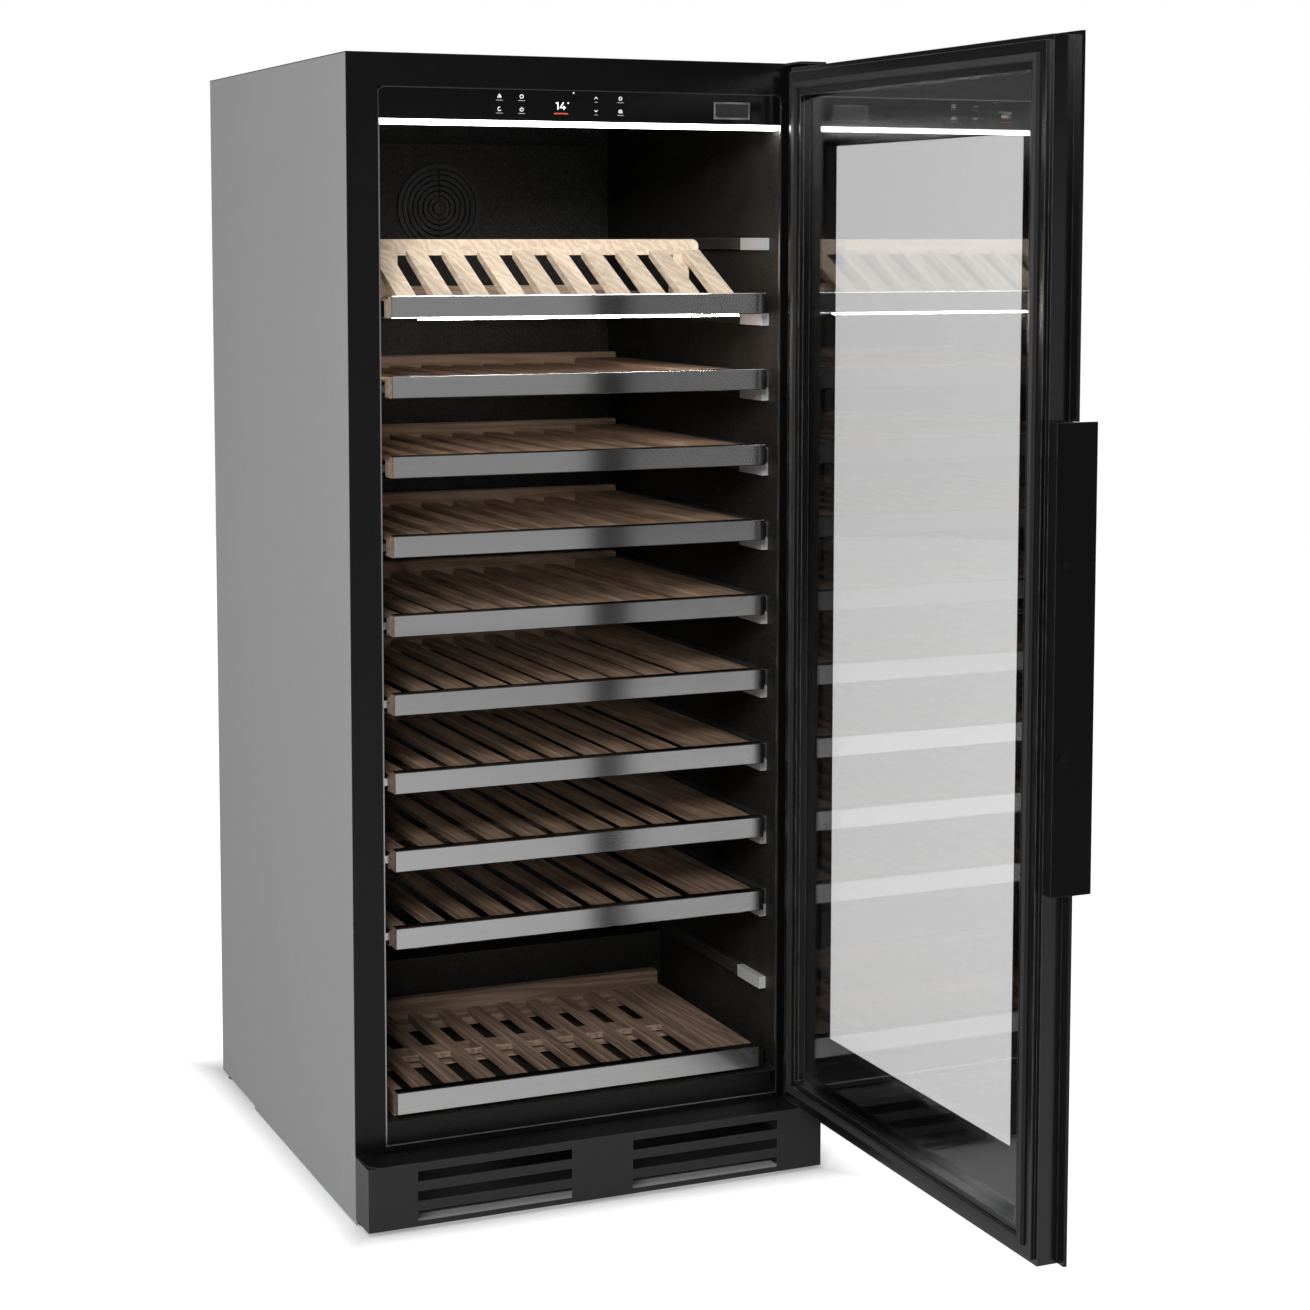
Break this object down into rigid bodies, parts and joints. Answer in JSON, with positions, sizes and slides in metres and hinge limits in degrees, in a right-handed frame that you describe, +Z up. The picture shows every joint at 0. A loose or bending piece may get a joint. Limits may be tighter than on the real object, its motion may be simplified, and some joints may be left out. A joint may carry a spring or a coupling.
{
  "type": "wine cooler",
  "caption": "Tall free-standing wine cooler with a right-hinged glass door standing open, slatted wooden slide-out shelves, a sloping display rack and a slotted kick plate.",
  "frame": {"origin": "floor level, under the centre of the cabinet body", "axes": "+Z up, front of the cabinet facing -Y, +X towards the hinge side"},
  "size_m": [0.612, 1.2488, 1.387],
  "materials": {
    "side_paint": "satin powder coat",
    "black_paint": "satin powder coat",
    "frame_paint": "smooth satin",
    "zinc_sheet": "zinc-coated sheet",
    "liner": "fine stucco grain",
    "duct_plastic": "fine stucco grain",
    "grille_plastic": "smooth moulded",
    "coil_metal": "stamped fins",
    "panel_black": "touch panel",
    "light_diffuser": "frosted diffuser",
    "badge_metal": "blank badge",
    "rail_plastic": "moulded",
    "stop_plastic": "moulded",
    "slide_zinc": "zinc plated",
    "hinge_paint": "satin",
    "kick_paint": "satin",
    "compressor_paint": "gloss enamel",
    "condenser_metal": "coated fins",
    "shroud_plastic": "moulded",
    "inlet_plastic": "moulded",
    "screw_steel": "blackened",
    "foot_rubber": "moulded",
    "fan_plastic": "moulded",
    "door_paint": "satin",
    "door_lining": "satin",
    "outer_pane": "tinted double glazing",
    "inner_pane": "tinted double glazing",
    "glass_print": "black ceramic print",
    "gasket_rubber": "magnetic seal",
    "handle_paint": "satin",
    "rack_wood": "oiled light beech",
    "display_wood": "oiled light beech",
    "bottom_wood": "oiled",
    "trim_steel": "brushed along the width",
    "strip_light": "frosted diffuser",
    "shelf_wood_1": "oiled",
    "shelf_wood_2": "oiled",
    "shelf_wood_3": "oiled",
    "shelf_wood_4": "oiled",
    "shelf_wood_5": "oiled",
    "shelf_wood_6": "oiled",
    "shelf_wood_7": "oiled",
    "shelf_wood_8": "oiled"
  },
  "bodies": {
    "cabinet": {"left_side_panel": "side_paint", "right_side_panel": "side_paint", "top_panel": "black_paint", "back_panel": "zinc_sheet", "base_pan": "zinc_sheet", "under_plate": "zinc_sheet", "front_frame": "frame_paint", "inner_liner": "liner", "duct_cover": "duct_plastic", "fan_grille": "grille_plastic", "evaporator_coil": "coil_metal", "control_panel": "panel_black", "light_bar": "light_diffuser", "badge_plate": "badge_metal", "wall_rails": "rail_plastic", "rail_stops": "stop_plastic", "slide_channels": "slide_zinc", "top_hinge": "hinge_paint", "bottom_hinge": "hinge_paint", "kick_plate": "kick_paint", "compressor": "compressor_paint", "condenser_coil": "condenser_metal", "condenser_shroud": "shroud_plastic", "power_inlet": "inlet_plastic", "cabinet_screws": "screw_steel", "rear_feet": "foot_rubber", "display_deck": "display_wood", "display_rack": "rack_wood", "display_trim": "trim_steel", "display_light": "strip_light"},
    "door": {"door_frame": "door_paint", "door_inner_frame": "door_lining", "outer_glass": "outer_pane", "inner_glass": "inner_pane", "glazing_border": "glass_print", "door_gasket": "gasket_rubber", "door_handle": "handle_paint", "handle_screws": "screw_steel"},
    "shelf_1": {"shelf_1_deck": "shelf_wood_1", "shelf_1_steel": "trim_steel"},
    "shelf_2": {"shelf_2_deck": "shelf_wood_2", "shelf_2_steel": "trim_steel"},
    "shelf_3": {"shelf_3_deck": "shelf_wood_3", "shelf_3_steel": "trim_steel"},
    "shelf_4": {"shelf_4_deck": "shelf_wood_4", "shelf_4_steel": "trim_steel"},
    "shelf_5": {"shelf_5_deck": "shelf_wood_5", "shelf_5_steel": "trim_steel"},
    "shelf_6": {"shelf_6_deck": "shelf_wood_6", "shelf_6_steel": "trim_steel"},
    "shelf_7": {"shelf_7_deck": "shelf_wood_7", "shelf_7_steel": "trim_steel"},
    "shelf_8": {"shelf_8_deck": "shelf_wood_8", "shelf_8_steel": "trim_steel"},
    "bottom_shelf": {"bottom_deck": "bottom_wood", "bottom_trim": "trim_steel"},
    "front_left_foot_body": {"front_left_foot": "foot_rubber"},
    "front_right_foot_body": {"front_right_foot": "foot_rubber"},
    "evaporator_fan_body": {"evaporator_fan": "fan_plastic"},
    "condenser_fan_body": {"condenser_fan": "fan_plastic"}
  },
  "joints": [
    {"name": "door_hinge", "type": "hinge", "parent": "cabinet", "child": "door", "pos_m": [0.2835, -0.341, 0.7], "axis": [0, 0, 1], "range_deg": [-90, 15]},
    {"name": "shelf_1_slide", "type": "slide", "parent": "cabinet", "child": "shelf_1", "axis": [0, -1, 0], "range_m": [0, 0.32]},
    {"name": "shelf_2_slide", "type": "slide", "parent": "cabinet", "child": "shelf_2", "axis": [0, -1, 0], "range_m": [0, 0.32]},
    {"name": "shelf_3_slide", "type": "slide", "parent": "cabinet", "child": "shelf_3", "axis": [0, -1, 0], "range_m": [0, 0.32]},
    {"name": "shelf_4_slide", "type": "slide", "parent": "cabinet", "child": "shelf_4", "axis": [0, -1, 0], "range_m": [0, 0.32]},
    {"name": "shelf_5_slide", "type": "slide", "parent": "cabinet", "child": "shelf_5", "axis": [0, -1, 0], "range_m": [0, 0.32]},
    {"name": "shelf_6_slide", "type": "slide", "parent": "cabinet", "child": "shelf_6", "axis": [0, -1, 0], "range_m": [0, 0.32]},
    {"name": "shelf_7_slide", "type": "slide", "parent": "cabinet", "child": "shelf_7", "axis": [0, -1, 0], "range_m": [0, 0.32]},
    {"name": "shelf_8_slide", "type": "slide", "parent": "cabinet", "child": "shelf_8", "axis": [0, -1, 0], "range_m": [0, 0.32]},
    {"name": "bottom_shelf_slide", "type": "slide", "parent": "cabinet", "child": "bottom_shelf", "axis": [0, -1, 0], "range_m": [0, 0.25]},
    {"name": "front_left_foot_turn", "type": "hinge", "parent": "cabinet", "child": "front_left_foot_body", "pos_m": [-0.275, -0.304, 0.01], "axis": [0, 0, 1], "continuous": true},
    {"name": "front_right_foot_turn", "type": "hinge", "parent": "cabinet", "child": "front_right_foot_body", "pos_m": [0.275, -0.304, 0.01], "axis": [0, 0, 1], "continuous": true},
    {"name": "evaporator_fan_spin", "type": "hinge", "parent": "cabinet", "child": "evaporator_fan_body", "pos_m": [0, 0.245, 1.215], "axis": [0, 1, 0], "continuous": true},
    {"name": "condenser_fan_spin", "type": "hinge", "parent": "cabinet", "child": "condenser_fan_body", "pos_m": [0.14, 0.163, 0.088], "axis": [0, 1, 0], "continuous": true}
  ]
}
